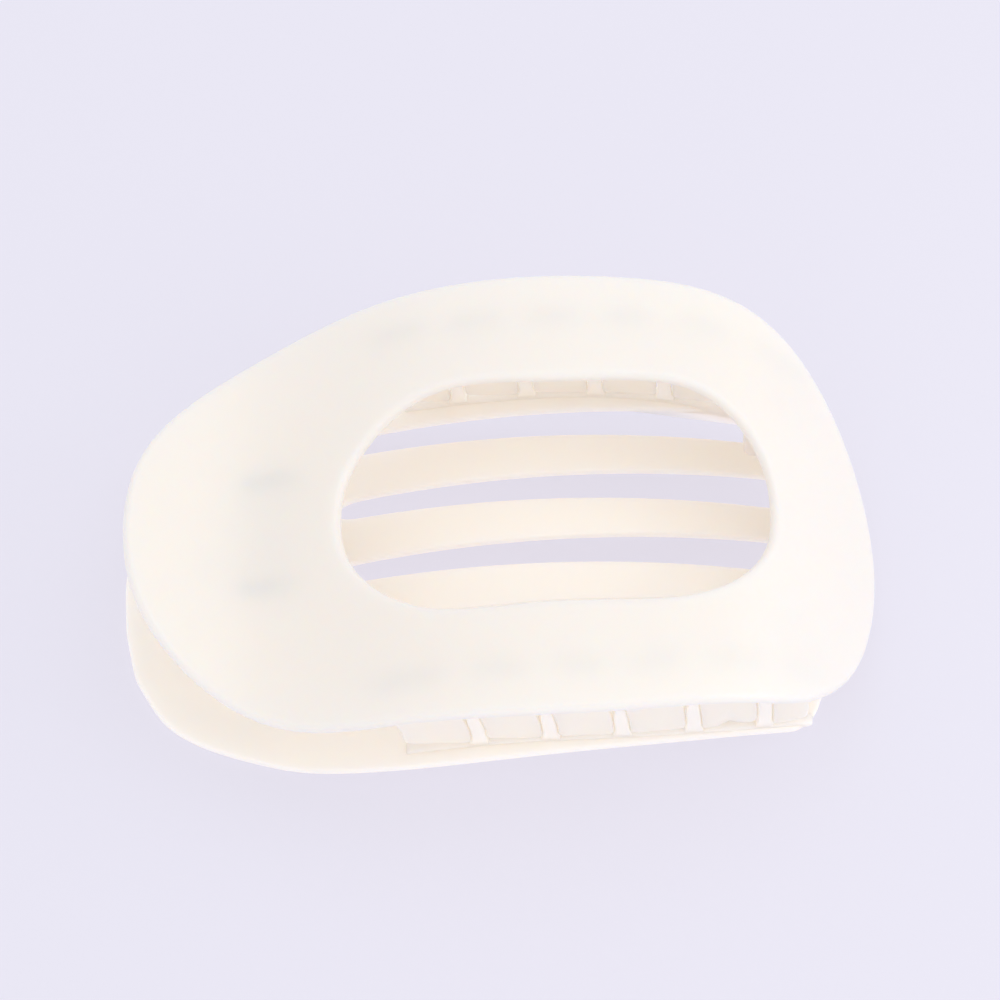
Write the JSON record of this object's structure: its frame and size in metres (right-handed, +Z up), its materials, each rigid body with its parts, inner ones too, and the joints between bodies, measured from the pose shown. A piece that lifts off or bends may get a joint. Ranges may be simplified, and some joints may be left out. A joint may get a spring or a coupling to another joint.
{
  "type": "flat claw hair clip",
  "caption": "Large flat claw hair clip: two arched jaws with interlocking side teeth, an oval window above, a slatted plate below, and a spring hinge between the thumb tails.",
  "frame": {"origin": "middle of the footprint, on the surface that the clip lies on", "axes": "+X from the thumb tails to the jaw tips, +Y to one long side, +Z up, through the window"},
  "size_m": [0.1092, 0.0692, 0.0337],
  "materials": {
    "upper_ivory": "satin-gloss moulded ivory plastic, with a polished outer face",
    "lower_ivory": "satin moulded ivory plastic, slightly warmer and duller inside",
    "pin_steel": "bright plated steel pin",
    "spring_steel": "drawn spring wire"
  },
  "bodies": {
    "lower_jaw": {"lower_plate": "lower_ivory", "lower_curb_near": "lower_ivory", "lower_prong_near_1": "lower_ivory", "lower_prong_near_2": "lower_ivory", "lower_prong_near_3": "lower_ivory", "lower_prong_near_4": "lower_ivory", "lower_prong_near_5": "lower_ivory", "lower_hinge_lug_near": "lower_ivory", "lower_curb_far": "lower_ivory", "lower_prong_far_1": "lower_ivory", "lower_prong_far_2": "lower_ivory", "lower_prong_far_3": "lower_ivory", "lower_prong_far_4": "lower_ivory", "lower_prong_far_5": "lower_ivory", "lower_hinge_lug_far": "lower_ivory", "hinge_pin": "pin_steel", "torsion_spring": "spring_steel"},
    "upper_jaw": {"upper_shell": "upper_ivory", "upper_tooth_near_1": "upper_ivory", "upper_tooth_near_2": "upper_ivory", "upper_tooth_near_3": "upper_ivory", "upper_tooth_near_4": "upper_ivory", "upper_tooth_near_5": "upper_ivory", "upper_tooth_near_6": "upper_ivory", "upper_corner_tooth_near": "upper_ivory", "upper_hinge_lug_near": "upper_ivory", "upper_tooth_far_1": "upper_ivory", "upper_tooth_far_2": "upper_ivory", "upper_tooth_far_3": "upper_ivory", "upper_tooth_far_4": "upper_ivory", "upper_tooth_far_5": "upper_ivory", "upper_tooth_far_6": "upper_ivory", "upper_corner_tooth_far": "upper_ivory", "upper_hinge_lug_far": "upper_ivory"}
  },
  "joints": [
    {"name": "jaw_hinge", "type": "hinge", "parent": "lower_jaw", "child": "upper_jaw", "pos_m": [-0.032, 0, 0.01], "axis": [0, -1, 0], "range_deg": [0, 40], "stiffness_Nm_per_rad": 0.15, "springref_deg": -57.3, "deforming": ["torsion_spring"]}
  ]
}
